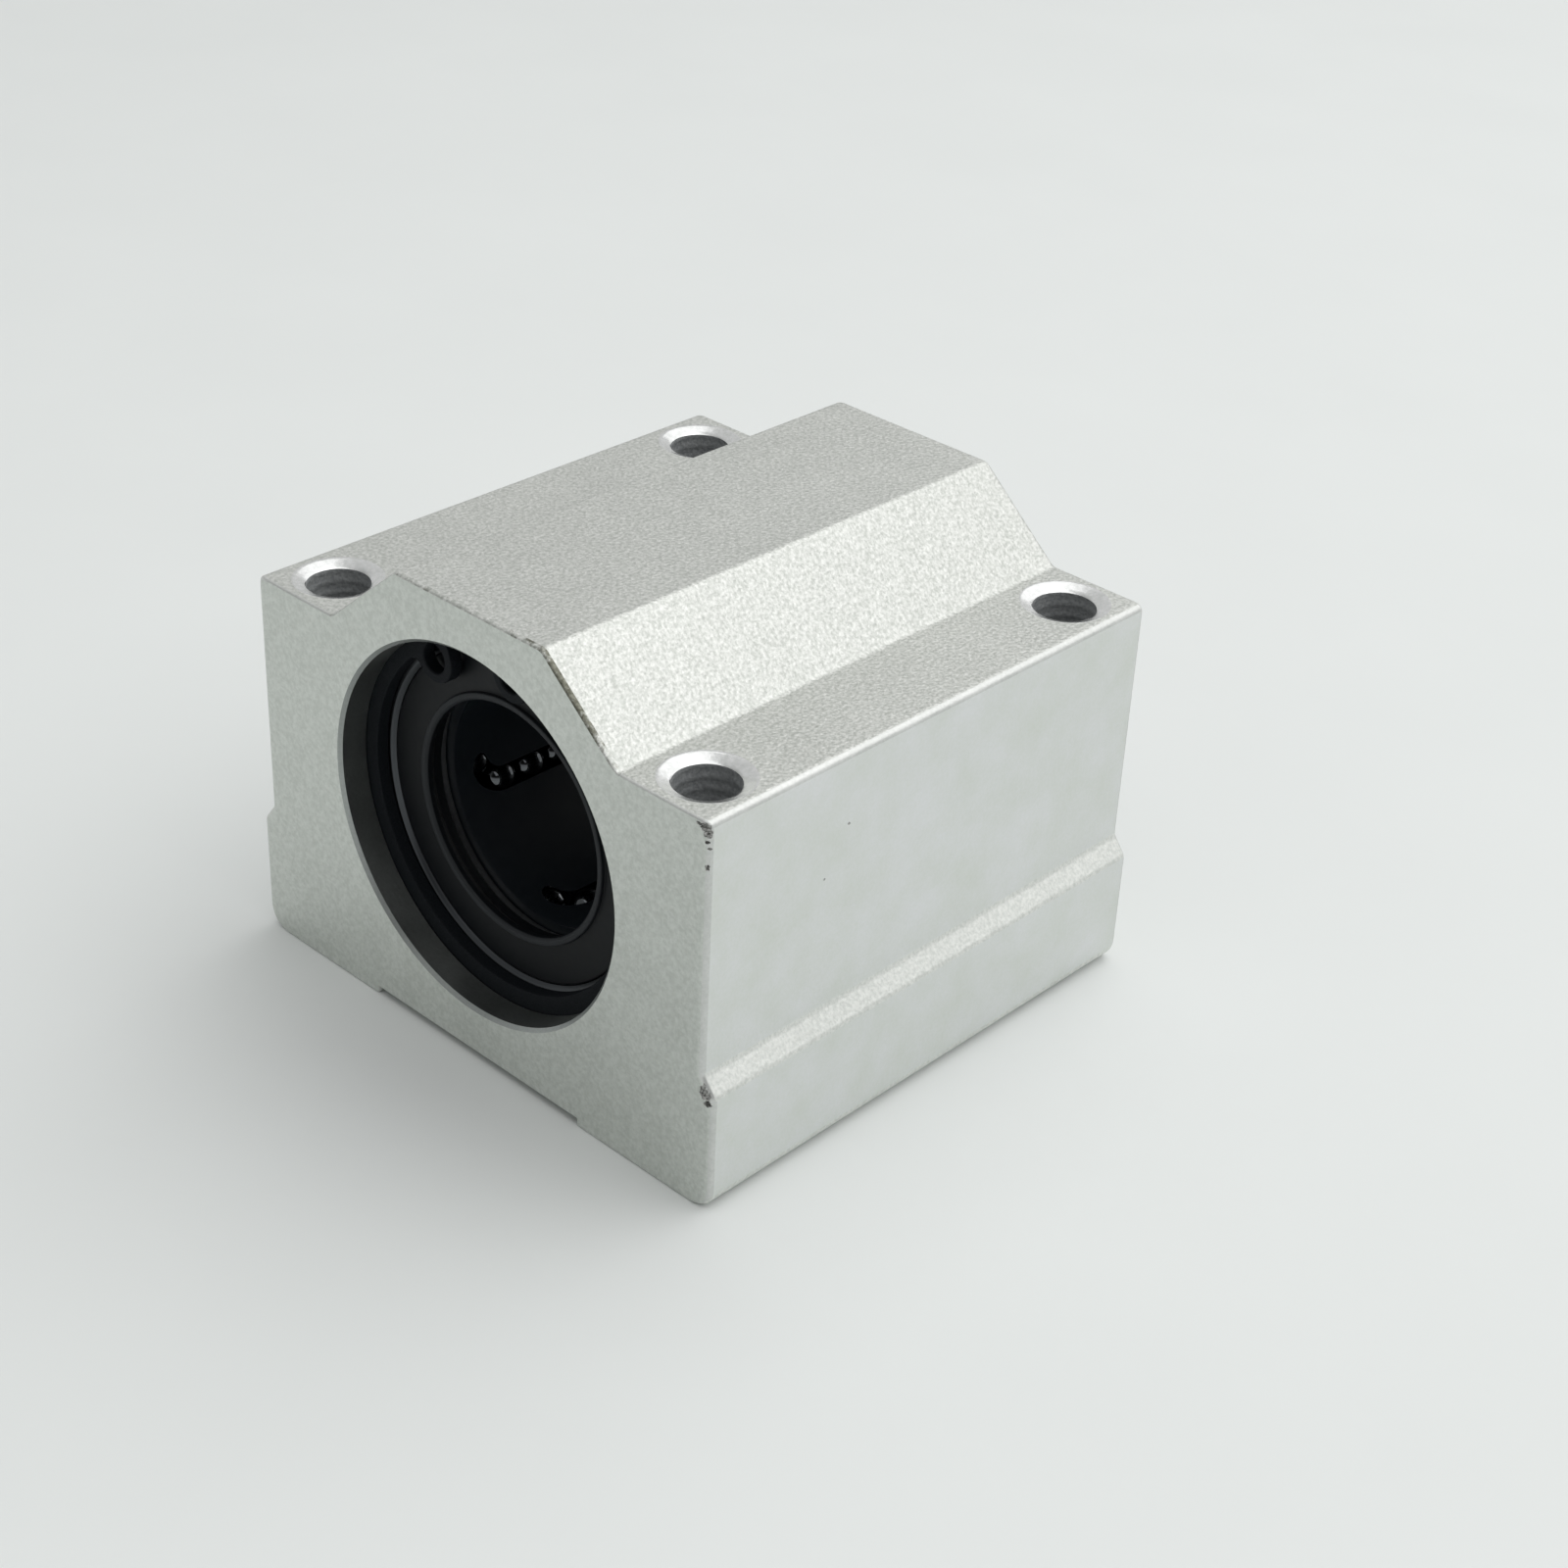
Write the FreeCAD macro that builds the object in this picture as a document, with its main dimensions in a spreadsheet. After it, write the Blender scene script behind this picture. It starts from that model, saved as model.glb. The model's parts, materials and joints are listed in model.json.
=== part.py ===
"""Linear bearing block for a 20 mm shaft.

An extruded aluminium housing holds a recirculating ball bushing between two
internal retaining rings.  The bushing is a hardened sleeve, a plastic ball cage,
closed circuits of steel balls, two end rings and two rubber lip seals.

Frame: origin at the middle of the foot face, +Z up, +Y along the shaft.
"""

import FreeCAD, Part
import math
import os
import Sketcher

Vector = FreeCAD.Vector

SIZES = {
    # housing section, seen along the shaft
    "block_width": 54.0,
    "waist_depth": 1.25,
    "flange_width": 9.5,
    "crown_wall": 3.15,
    "flange_height": 34.2,
    "foot_side_height": 10.7,
    "shoulder_height": 12.3,
    "hump_top_width": 16.6,
    "recess_width": 24.3,
    "recess_depth": 0.65,
    "foot_corner_radius": 2.2,
    "flange_edge_chamfer": 0.4,
    "hump_edge_radius": 0.5,
    "hump_foot_radius": 0.8,
    "shoulder_radius": 0.5,
    "recess_edge_radius": 0.3,
    "face_edge_break": 0.3,
    "shaft_height": 21.0,
    # fixing holes, tapped from the flange side
    "hole_end_margin": 4.5,
    "hole_diameter": 5.2,
    "hole_mouth_diameter": 7.4,
    "hole_mouth_depth": 0.4,
    # housing bore
    "bore_fit_clearance": 0.02,
    "bore_mouth_chamfer": 0.3,
    "groove_diameter": 33.7,
    "groove_side_clearance": 0.1,
    # retaining rings
    "retainer_thickness": 1.2,
    "retainer_back_width": 2.4,
    "retainer_end_width": 2.0,
    "retainer_seat_clearance": 0.03,
    "retainer_end_play": 0.03,
    "retainer_recess": 2.77,
    "lug_blend_radius": 0.8,
    "lug_radius": 2.1,
    "lug_centre_radius": 14.0,
    "lug_hole_diameter": 2.5,
    "lug_angle": 19.0,
    "front_gap_turn": -12.0,
    "rear_gap_turn": 9.0,
    # bushing sleeve
    "bearing_diameter": 32.0,
    "bearing_length": 42.0,
    "sleeve_groove_span": 30.5,
    "sleeve_groove_width": 1.6,
    "sleeve_groove_diameter": 30.5,
    "sleeve_end_chamfer": 0.6,
    "seal_seat_diameter": 28.3,
    "seal_seat_chamfer": 0.35,
    # balls and cage
    "shaft_diameter": 20.0,
    "ball_diameter": 3.175,
    "ball_gap": 0.03,
    "ball_running_clearance": 0.06,
    "race_clearance": 0.01,
    "return_clearance": 0.06,
    "circuit_count": 5,
    "circuit_turn": 34.0,
    "cage_shaft_clearance": 0.35,
    "cage_sleeve_clearance": 0.15,
    "cage_end_play": 0.1,
    "cage_end_wall": 1.0,
    # end rings and seals
    "end_ring_thickness": 1.0,
    "end_ring_inner_diameter": 22.4,
    "seal_thickness": 1.8,
    "seal_recess": 0.3,
    "seal_fit_clearance": 0.02,
    "lip_outer_diameter": 21.3,
    "lip_rise": 0.35,
    "lip_land": 0.5,
    "lip_chamfer": 0.2,
    "lip_undercut_diameter": 21.2,
}

# Measures that follow from the sheet, as expressions.
BORE_RADIUS = "(Sizes.bearing_diameter / 2 + Sizes.bore_fit_clearance)"
SLEEVE_RADIUS = "Sizes.bearing_diameter / 2"
SLEEVE_HALF = "Sizes.bearing_length / 2"
SEAT_RADIUS = "Sizes.seal_seat_diameter / 2"
SHAFT_RADIUS = "Sizes.shaft_diameter / 2"
BALL_RADIUS = "Sizes.ball_diameter / 2"

# A retaining ring lies against the sleeve's end, in a groove of the bore, and the housing's
# sawn face stands a set distance outside it.
RETAINER_INNER_Y = f"({SLEEVE_HALF} + Sizes.retainer_end_play)"
RETAINER_MIDDLE_Y = f"({RETAINER_INNER_Y} + Sizes.retainer_thickness / 2)"
GROOVE_INNER_Y = SLEEVE_HALF
GROOVE_OUTER_Y = f"({RETAINER_INNER_Y} + Sizes.retainer_thickness + Sizes.groove_side_clearance)"
RETAINER_RADIUS = "(Sizes.groove_diameter / 2 - Sizes.retainer_seat_clearance)"
HALF_LENGTH = f"({RETAINER_INNER_Y} + Sizes.retainer_thickness + Sizes.retainer_recess)"

# The hump leaves a wall over the bore's ring grooves.  The fixing holes stand midway across
# the flanges, between the waisted side and the hump.
BLOCK_HEIGHT = "(Sizes.shaft_height + Sizes.groove_diameter / 2 + Sizes.crown_wall)"
WAIST_X = "(Sizes.block_width / 2 - Sizes.waist_depth)"
HUMP_FOOT_X = f"({WAIST_X} - Sizes.flange_width)"
HOLE_X = f"({WAIST_X} - Sizes.flange_width / 2)"
HOLE_Y = f"({HALF_LENGTH} - Sizes.hole_end_margin)"

# Stack inside the sleeve, from its end inwards: seal, end ring, cage.
SEAL_OUTER_Y = f"({SLEEVE_HALF} - Sizes.seal_recess)"
SEAL_INNER_Y = f"({SEAL_OUTER_Y} - Sizes.seal_thickness)"
END_RING_INNER_Y = f"({SEAL_INNER_Y} - Sizes.end_ring_thickness)"
CAGE_HALF = f"({END_RING_INNER_Y} - Sizes.cage_end_play)"

# The balls of one circuit lie in a plane that touches the circle of loaded ball centres.
# The loaded row is at x = 0 of that plane and the return row lies beside it.
BALL_PLANE = f"({SHAFT_RADIUS} + {BALL_RADIUS})"
BALL_PITCH = "(Sizes.ball_diameter + Sizes.ball_gap)"
ROW_SPACING = f"({BALL_PITCH} * sqrt(2))"
TURN_RADIUS = f"({ROW_SPACING} / 2)"
TRACK_RADIUS = f"({BALL_RADIUS} + Sizes.ball_running_clearance)"
ROW_ROOM = f"({CAGE_HALF} - Sizes.cage_end_wall - {TRACK_RADIUS} - {TURN_RADIUS}) * 2"
ROW_GAPS = f"floor({ROW_ROOM} / {BALL_PITCH})"
ROW_HALF = f"({ROW_GAPS} * {BALL_PITCH} / 2)"
RACE_RADIUS = f"({BALL_PLANE} + {BALL_RADIUS} + Sizes.race_clearance)"
RETURN_CENTRE_RADIUS = f"sqrt({BALL_PLANE} ^ 2 + {ROW_SPACING} ^ 2)"
RETURN_RADIUS = f"({BALL_RADIUS} + Sizes.return_clearance)"
RELIEF_RADIUS = f"({RETURN_CENTRE_RADIUS} + {RETURN_RADIUS})"

doc = FreeCAD.newDocument("LinearBearingBlock")
sheet = doc.addObject("Spreadsheet::Sheet", "Sizes")
for row, (name, size) in enumerate(SIZES.items(), start=1):
    sheet.set(f"A{row}", name)
    sheet.set(f"B{row}", str(size))
    sheet.setAlias(f"B{row}", name)
doc.recompute()


def value(expression):
    """The number that an expression of sheet sizes gives."""
    return float(sheet.evalExpression(str(expression).replace("Sizes.", "")))


def bind(item, **expressions):
    """Tie properties of an object to expressions; __ in a name stands for a dot."""
    for name, expression in expressions.items():
        item.setExpression(name.replace("__", "."), expression)


def new_body(name, axis_height="0"):
    body = doc.addObject("PartDesign::Body", name)
    body.Label = name
    bind(body, Placement__Base__z=axis_height)
    return body


def datum(body, role):
    """One of the body's own origin planes or axes."""
    return next(item for item in body.Origin.OriginFeatures if item.Role == role)


def new_sketch(body, name, plane, **offset):
    """A sketch on an origin plane of its body, shifted by expressions in that plane's frame."""
    sketch = body.newObject("Sketcher::SketchObject", name)
    sketch.AttachmentSupport = [(datum(body, plane), "")]
    sketch.MapMode = "FlatFace"
    for direction, expression in offset.items():
        sketch.setExpression(f"AttachmentOffset.Base.{direction}", expression)
    return sketch


def add_measure(sketch, kind, places, expression):
    """A dimension of a sketch, tied to an expression."""
    index = sketch.addConstraint(Sketcher.Constraint(kind, *places, value(expression)))
    sketch.setExpression(f"Constraints[{index}]", expression)


def pin_point(sketch, geometry, position, x, y):
    """Dimension one point of a sketch from the sketch's origin."""
    add_measure(sketch, "DistanceX", (-1, 1, geometry, position), x)
    add_measure(sketch, "DistanceY", (-1, 1, geometry, position), y)


def add_outline(sketch, corners):
    """A closed outline of straight sides through corners given as pairs of expressions."""
    places = [Vector(value(x), value(y), 0) for x, y in corners]
    first = sketch.GeometryCount
    count = len(corners)
    for index, start in enumerate(places):
        sketch.addGeometry(Part.LineSegment(start, places[(index + 1) % count]))
    for index, (x, y) in enumerate(corners):
        joined = first + (index + 1) % count
        sketch.addConstraint(Sketcher.Constraint("Coincident", first + index, 2, joined, 1))
        pin_point(sketch, first + index, 1, x, y)


def add_circle(sketch, x, y, radius):
    centre = Vector(value(x), value(y), 0)
    geometry = sketch.addGeometry(Part.Circle(centre, Vector(0, 0, 1), value(radius)))
    pin_point(sketch, geometry, 3, x, y)
    add_measure(sketch, "Radius", (geometry,), radius)


def mirrored_profile(half):
    """Corners on the +x side and their mirror images, in order round the outline."""
    return half + [(f"-({x})", y) for x, y in reversed(half)]


def pad(body, name, sketch, length):
    feature = body.newObject("PartDesign::Pad", name)
    feature.Profile = sketch
    feature.SideType = "Symmetric"
    bind(feature, Length=length)
    return feature


def pocket(body, name, sketch, length):
    feature = body.newObject("PartDesign::Pocket", name)
    feature.Profile = sketch
    feature.SideType = "Symmetric"
    bind(feature, Length=length)
    return feature


def revolve(body, kind, name, sketch):
    """A full turn of a sketch about its own horizontal axis."""
    feature = body.newObject(f"PartDesign::{kind}", name)
    feature.Profile = sketch
    feature.ReferenceAxis = (sketch, ["H_Axis"])
    feature.Angle = 360
    return feature


def pattern_round_shaft(body, name, feature, count):
    pattern = body.newObject("PartDesign::PolarPattern", name)
    pattern.Originals = [feature]
    pattern.Axis = (datum(body, "Y_Axis"), [""])
    pattern.Angle = 360
    bind(pattern, Occurrences=count)
    body.Tip = pattern
    return pattern


def edges_where(feature, wanted):
    """Names of a feature's edges that pass a test."""
    doc.recompute()
    edges = enumerate(feature.Shape.Edges, start=1)
    return [f"Edge{index}" for index, edge in edges if wanted(edge)]


def lengthwise_edges(feature, places):
    """Names of the straight edges along Y that pass through the given section points."""
    targets = [(value(x), value(z)) for x, z in places]

    def wanted(edge):
        ends = [vertex.Point for vertex in edge.Vertexes]
        if edge.BoundBox.YLength < 1:
            return False
        return any(all(math.hypot(end.x - x, end.z - z) < 1e-4 for end in ends) for x, z in targets)

    return edges_where(feature, wanted)


def edges_on_end_faces(feature):
    """Names of the edges round the two flat end faces of the housing."""
    half = value(HALF_LENGTH)

    def wanted(edge):
        box = edge.BoundBox
        return box.YLength < 1e-6 and abs(abs(box.YMin) - half) < 1e-4

    return edges_where(feature, wanted)


def lug_root_edges(feature, lug_x, lug_z):
    """Names of the edges where a retaining ring's lugs meet its inner edge, beyond their eyes."""
    centre_x = value(lug_x)
    centre_z = value(lug_z)
    reach = value("Sizes.lug_radius")

    def wanted(edge):
        place = edge.CenterOfMass
        across = abs(place.x) - centre_x
        on_lug = abs(math.hypot(across, place.z - centre_z) - reach) < 1e-3
        return edge.BoundBox.XLength < 1e-6 and on_lug and across > 0

    return edges_where(feature, wanted)


def dress(body, kind, name, base, edges, size):
    """A fillet or chamfer on named edges of the feature before it."""
    feature = body.newObject(f"PartDesign::{kind}", name)
    feature.Base = (base, edges)
    bind(feature, **{"Radius" if kind == "Fillet" else "Size": size})
    body.Tip = feature
    return feature


def both_sides(places):
    return places + [(f"-({x})", z) for x, z in places]


def make_housing():
    """Aluminium extrusion cut to length: foot rails, waisted sides, bolt flanges and hump."""
    body = new_body("housing")
    foot_corner = ("Sizes.block_width / 2", "0")
    foot_side_top = ("Sizes.block_width / 2", "Sizes.foot_side_height")
    shoulder = (WAIST_X, "Sizes.shoulder_height")
    flange_edge = (WAIST_X, "Sizes.flange_height")
    hump_foot = (HUMP_FOOT_X, "Sizes.flange_height")
    hump_edge = ("Sizes.hump_top_width / 2", BLOCK_HEIGHT)
    recess_edge = ("Sizes.recess_width / 2", "0")
    recess_roof = ("Sizes.recess_width / 2", "Sizes.recess_depth")
    section = new_sketch(body, "HousingSection", "XZ_Plane")
    half = [recess_roof, recess_edge, foot_corner, foot_side_top]
    half += [shoulder, flange_edge, hump_foot, hump_edge]
    add_outline(section, mirrored_profile(half))
    solid = pad(body, "HousingExtrusion", section, f"2 * {HALF_LENGTH}")
    for kind, name, place, size in (
        ("Fillet", "FootCorners", foot_corner, "Sizes.foot_corner_radius"),
        ("Fillet", "FootSideTops", foot_side_top, "Sizes.shoulder_radius"),
        ("Fillet", "Shoulders", shoulder, "Sizes.shoulder_radius"),
        ("Chamfer", "FlangeEdges", flange_edge, "Sizes.flange_edge_chamfer"),
        ("Fillet", "HumpFeet", hump_foot, "Sizes.hump_foot_radius"),
        ("Fillet", "HumpEdges", hump_edge, "Sizes.hump_edge_radius"),
        ("Fillet", "RecessEdges", recess_edge, "Sizes.recess_edge_radius"),
    ):
        solid = dress(body, kind, name, solid, lengthwise_edges(solid, both_sides([place])), size)
    ends = edges_on_end_faces(solid)
    solid = dress(body, "Chamfer", "SawnEdgeBreak", solid, ends, "Sizes.face_edge_break")

    bore = new_sketch(body, "BoreSection", "YZ_Plane", y="Sizes.shaft_height")
    groove_radius = "Sizes.groove_diameter / 2"
    mouth = "Sizes.bore_mouth_chamfer"
    half = [
        (f"{HALF_LENGTH} + {mouth}", "0"),
        (f"{HALF_LENGTH} + {mouth}", f"{BORE_RADIUS} + 2 * {mouth}"),
        (f"{HALF_LENGTH} - {mouth}", BORE_RADIUS),
        (GROOVE_OUTER_Y, BORE_RADIUS),
        (GROOVE_OUTER_Y, groove_radius),
        (GROOVE_INNER_Y, groove_radius),
        (GROOVE_INNER_Y, BORE_RADIUS),
    ]
    add_outline(bore, mirrored_profile(half))
    revolve(body, "Groove", "BearingBore", bore)

    holes = new_sketch(body, "FixingHoleCentres", "XY_Plane", z="Sizes.flange_height")
    for x in (HOLE_X, f"-{HOLE_X}"):
        for y in (HOLE_Y, f"-{HOLE_Y}"):
            add_circle(holes, x, y, "Sizes.hole_diameter / 2")
    doc.recompute()
    drilled = body.newObject("PartDesign::Hole", "FixingHoles")
    drilled.Profile = holes
    drilled.DepthType = "ThroughAll"
    drilled.Threaded = False
    drilled.HoleCutType = "Countersink"
    drilled.HoleCutCustomValues = True
    mouth_wall = "(Sizes.hole_mouth_diameter - Sizes.hole_diameter) / 2"
    bind(
        drilled,
        Diameter="Sizes.hole_diameter",
        HoleCutDiameter="Sizes.hole_mouth_diameter",
        HoleCutCountersinkAngle=f"2 * atan({mouth_wall} / Sizes.hole_mouth_depth)",
    )
    body.Tip = drilled


def make_retaining_ring(name, side, gap_turn):
    """Sprung steel ring, widest opposite its gap, with an eyed lug each side of the gap."""
    body = new_body(name, "Sizes.shaft_height")
    sign = "-" if side < 0 else ""
    back = f"({RETAINER_RADIUS} - Sizes.retainer_back_width)"
    ends = f"({RETAINER_RADIUS} - Sizes.retainer_end_width)"
    lug_x = "Sizes.lug_centre_radius * sin(Sizes.lug_angle * 1deg)"
    lug_z = "Sizes.lug_centre_radius * cos(Sizes.lug_angle * 1deg)"
    gap_half = "(Sizes.lug_angle * 1deg - asin(Sizes.lug_radius / Sizes.lug_centre_radius))"
    beyond = "Sizes.groove_diameter"

    band = new_sketch(body, f"{name}_band_shape", "XZ_Plane")
    add_circle(band, "0", "0", RETAINER_RADIUS)
    add_circle(band, "0", f"({ends} - {back}) / 2", f"({ends} + {back}) / 2")
    pad(body, f"{name}_band", band, "Sizes.retainer_thickness")

    gap = new_sketch(body, f"{name}_gap_shape", "XZ_Plane")
    gap_x = f"{beyond} * tan({gap_half})"
    add_outline(gap, [("0", "0"), (gap_x, beyond), (f"-{gap_x}", beyond)])
    pocket(body, f"{name}_gap", gap, "Sizes.retainer_thickness * 2")

    lugs = new_sketch(body, f"{name}_lug_shape", "XZ_Plane")
    eyes = new_sketch(body, f"{name}_eye_shape", "XZ_Plane")
    for x in (lug_x, f"-{lug_x}"):
        add_circle(lugs, x, lug_z, "Sizes.lug_radius")
        add_circle(eyes, x, lug_z, "Sizes.lug_hole_diameter / 2")
    solid = pad(body, f"{name}_lugs", lugs, "Sizes.retainer_thickness")
    roots = lug_root_edges(solid, lug_x, lug_z)
    dress(body, "Fillet", f"{name}_lug_blends", solid, roots, "Sizes.lug_blend_radius")
    pocket(body, f"{name}_eyes", eyes, "Sizes.retainer_thickness * 2")
    body.Placement.Rotation = FreeCAD.Rotation(Vector(0, 1, 0), value(gap_turn))
    bind(body, Placement__Base__y=f"{sign}{RETAINER_MIDDLE_Y}", Placement__Rotation__Angle=gap_turn)


def make_sleeve():
    """Hardened steel sleeve: lands that carry the loaded balls, with grooves for their return."""
    body = new_body("bearing_sleeve", "Sizes.shaft_height")
    groove_end = "Sizes.sleeve_groove_span / 2"
    groove_start = f"({groove_end} - Sizes.sleeve_groove_width)"
    groove_floor = "Sizes.sleeve_groove_diameter / 2"
    section = new_sketch(body, "SleeveSection", "YZ_Plane")
    half = [
        (ROW_HALF, RACE_RADIUS),
        (ROW_HALF, RELIEF_RADIUS),
        (END_RING_INNER_Y, RELIEF_RADIUS),
        (END_RING_INNER_Y, SEAT_RADIUS),
        (f"{SLEEVE_HALF} - Sizes.seal_seat_chamfer", SEAT_RADIUS),
        (SLEEVE_HALF, f"{SEAT_RADIUS} + Sizes.seal_seat_chamfer"),
        (SLEEVE_HALF, f"{SLEEVE_RADIUS} - Sizes.sleeve_end_chamfer"),
        (f"{SLEEVE_HALF} - Sizes.sleeve_end_chamfer", SLEEVE_RADIUS),
        (groove_end, SLEEVE_RADIUS),
        (groove_end, groove_floor),
        (groove_start, groove_floor),
        (groove_start, SLEEVE_RADIUS),
    ]
    add_outline(section, mirrored_profile(half))
    revolve(body, "Revolution", "SleeveTurning", section)
    returns = new_sketch(body, "ReturnGrooveShape", "XZ_Plane")
    add_circle(returns, ROW_SPACING, BALL_PLANE, RETURN_RADIUS)
    cut = pocket(body, "ReturnGroove", returns, f"2 * {ROW_HALF} + 2 * Sizes.ball_diameter")
    pattern_round_shaft(body, "ReturnGrooves", cut, "Sizes.circuit_count")
    bind_turn(body)


def bind_turn(item, steps=0):
    """Stand an object on the shaft axis, turned with the ball circuits."""
    turn = f"Sizes.circuit_turn + {steps} * 360 / Sizes.circuit_count"
    item.Placement.Rotation = FreeCAD.Rotation(Vector(0, 1, 0), value(turn))
    bind(item, Placement__Base__z="Sizes.shaft_height", Placement__Rotation__Angle=turn)


def make_cage():
    """Moulded ball cage: a plain tube with one closed ball track for each circuit."""
    body = new_body("ball_cage", "Sizes.shaft_height")
    inner = f"{SHAFT_RADIUS} + Sizes.cage_shaft_clearance"
    outer = f"{RACE_RADIUS} - Sizes.cage_sleeve_clearance"
    section = new_sketch(body, "CageSection", "YZ_Plane")
    add_outline(section, mirrored_profile([(CAGE_HALF, inner), (CAGE_HALF, outer)]))
    revolve(body, "Revolution", "CageTube", section)

    path = new_sketch(body, "TrackPath", "XY_Plane", z=BALL_PLANE)
    corners = [
        ("0", "0"),
        ("0", ROW_HALF),
        (ROW_SPACING, ROW_HALF),
        (ROW_SPACING, f"-{ROW_HALF}"),
        ("0", f"-{ROW_HALF}"),
    ]
    places = [Vector(value(x), value(y), 0) for x, y in corners]
    far_turn = Part.Circle((places[1] + places[2]) / 2, Vector(0, 0, 1), value(TURN_RADIUS))
    near_turn = Part.Circle((places[3] + places[4]) / 2, Vector(0, 0, 1), value(TURN_RADIUS))
    path.addGeometry(Part.LineSegment(places[0], places[1]))
    path.addGeometry(Part.ArcOfCircle(far_turn, 0, math.pi))
    path.addGeometry(Part.LineSegment(places[2], places[3]))
    path.addGeometry(Part.ArcOfCircle(near_turn, math.pi, 2 * math.pi))
    path.addGeometry(Part.LineSegment(places[4], places[0]))
    join_track(path, corners)

    bullet = new_sketch(body, "TrackShape", "XZ_Plane")
    add_circle(bullet, "0", BALL_PLANE, TRACK_RADIUS)
    track = body.newObject("PartDesign::SubtractivePipe", "BallTrack")
    track.Profile = bullet
    track.Spine = (path, [])
    pattern_round_shaft(body, "BallTracks", track, "Sizes.circuit_count")
    bind_turn(body)


def join_track(path, corners):
    """Close the track's five pieces on their corners and centre both turns on the rows' ends."""
    for index, (x, y) in enumerate(corners):
        turn = isinstance(path.Geometry[index], Part.ArcOfCircle)
        after_turn = isinstance(path.Geometry[index - 1], Part.ArcOfCircle)
        start = 2 if turn else 1
        end = 1 if after_turn else 2
        before = (index - 1) % len(corners)
        path.addConstraint(Sketcher.Constraint("Coincident", before, end, index, start))
        pin_point(path, index, start, x, y)
        if turn:
            add_measure(path, "DistanceY", (-1, 1, index, 3), y)


def make_ball_circuits():
    """One closed loop of steel balls for each track: two straight rows and a ball in each turn."""
    balls = []
    rows = int(value(ROW_GAPS)) + 1
    places = []
    for index in range(rows):
        along = f"{index} * {BALL_PITCH} - {ROW_HALF}"
        places.append(("0", along))
        places.append((ROW_SPACING, along))
    places.append((TURN_RADIUS, f"{ROW_HALF} + {TURN_RADIUS}"))
    places.append((TURN_RADIUS, f"-{ROW_HALF} - {TURN_RADIUS}"))
    for index, (x, y) in enumerate(places, start=1):
        ball = doc.addObject("Part::Sphere", f"ball_{index}")
        bind(ball, Radius=BALL_RADIUS)
        bind(ball, Placement__Base__x=x, Placement__Base__y=y, Placement__Base__z=BALL_PLANE)
        balls.append(ball)
    circuits = []
    for steps in range(int(value("Sizes.circuit_count"))):
        circuit = doc.addObject("Part::Compound", f"ball_circuit_{steps + 1}")
        circuit.Label = f"ball_circuit_{steps + 1}"
        circuit.Links = balls
        bind_turn(circuit, steps)
        circuits.append(circuit)
    return circuits


def make_end_ring(name, side):
    """Flat steel ring between the cage and the seal."""
    body = new_body(name, "Sizes.shaft_height")
    sign = "-" if side < 0 else ""
    section = new_sketch(body, f"{name}_section", "YZ_Plane")
    inner = "Sizes.end_ring_inner_diameter / 2"
    outer = f"{SEAT_RADIUS} - Sizes.seal_fit_clearance"
    corners = [(f"{sign}{END_RING_INNER_Y}", inner), (f"{sign}{END_RING_INNER_Y}", outer)]
    corners += [(f"{sign}{SEAL_INNER_Y}", outer), (f"{sign}{SEAL_INNER_Y}", inner)]
    add_outline(section, corners)
    revolve(body, "Revolution", f"{name}_turning", section)


def make_seal(name, side):
    """Moulded rubber washer whose raised inner lip wipes the shaft."""
    body = new_body(name, "Sizes.shaft_height")
    sign = "-" if side < 0 else ""
    lip = "Sizes.lip_outer_diameter / 2"
    lip_face = f"({SEAL_OUTER_Y} + Sizes.lip_rise)"
    land_outer = f"({lip_face} - Sizes.lip_chamfer)"
    land_inner = f"({land_outer} - Sizes.lip_land)"
    undercut = "Sizes.lip_undercut_diameter / 2"
    slope_end = f"({land_inner} - {undercut} + {SHAFT_RADIUS})"
    section = new_sketch(body, f"{name}_section", "YZ_Plane")
    outer = f"{SEAT_RADIUS} - Sizes.seal_fit_clearance"
    half = [
        (SEAL_INNER_Y, undercut),
        (SEAL_INNER_Y, outer),
        (SEAL_OUTER_Y, outer),
        (SEAL_OUTER_Y, lip),
        (f"({lip_face} - Sizes.lip_chamfer)", lip),
        (lip_face, f"{lip} - Sizes.lip_chamfer"),
        (lip_face, f"{SHAFT_RADIUS} + Sizes.lip_chamfer"),
        (land_outer, SHAFT_RADIUS),
        (land_inner, SHAFT_RADIUS),
        (slope_end, undercut),
    ]
    add_outline(section, [(f"{sign}{y}", radius) for y, radius in half])
    revolve(body, "Revolution", f"{name}_moulding", section)


make_housing()
make_retaining_ring("retaining_ring_front", -1, "Sizes.front_gap_turn")
make_retaining_ring("retaining_ring_rear", 1, "Sizes.rear_gap_turn")
make_sleeve()
make_cage()
circuits = make_ball_circuits()
for end, side in (("front", -1), ("rear", 1)):
    make_end_ring(f"end_ring_{end}", side)
    make_seal(f"seal_{end}", side)
doc.recompute()

pieces = [item for item in doc.Objects if item.TypeId == "PartDesign::Body"] + circuits
for item in doc.Objects:
    if {"Invalid", "Error"} & set(item.State):
        raise RuntimeError(f"{item.Label} failed: {item.State}")
os.makedirs("parts", exist_ok=True)
for piece in pieces:
    if piece.Shape.isNull() or not piece.Shape.isValid():
        raise RuntimeError(f"{piece.Label} has no valid shape")
    piece.Shape.exportStep(f"parts/{piece.Label}.step")
    print(f"{piece.Label}: {len(piece.Shape.Solids)} solid(s), {piece.Shape.Volume:.1f} mm3")
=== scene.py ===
"""Looks of a linear bearing block: its machined housing, sealed ball bushing and retaining rings.

Sizes are in metres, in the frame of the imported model: +Y along the shaft, +Z up.
"""

import json
import math

import bmesh
import bpy
from mathutils import Matrix, Vector, noise


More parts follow.
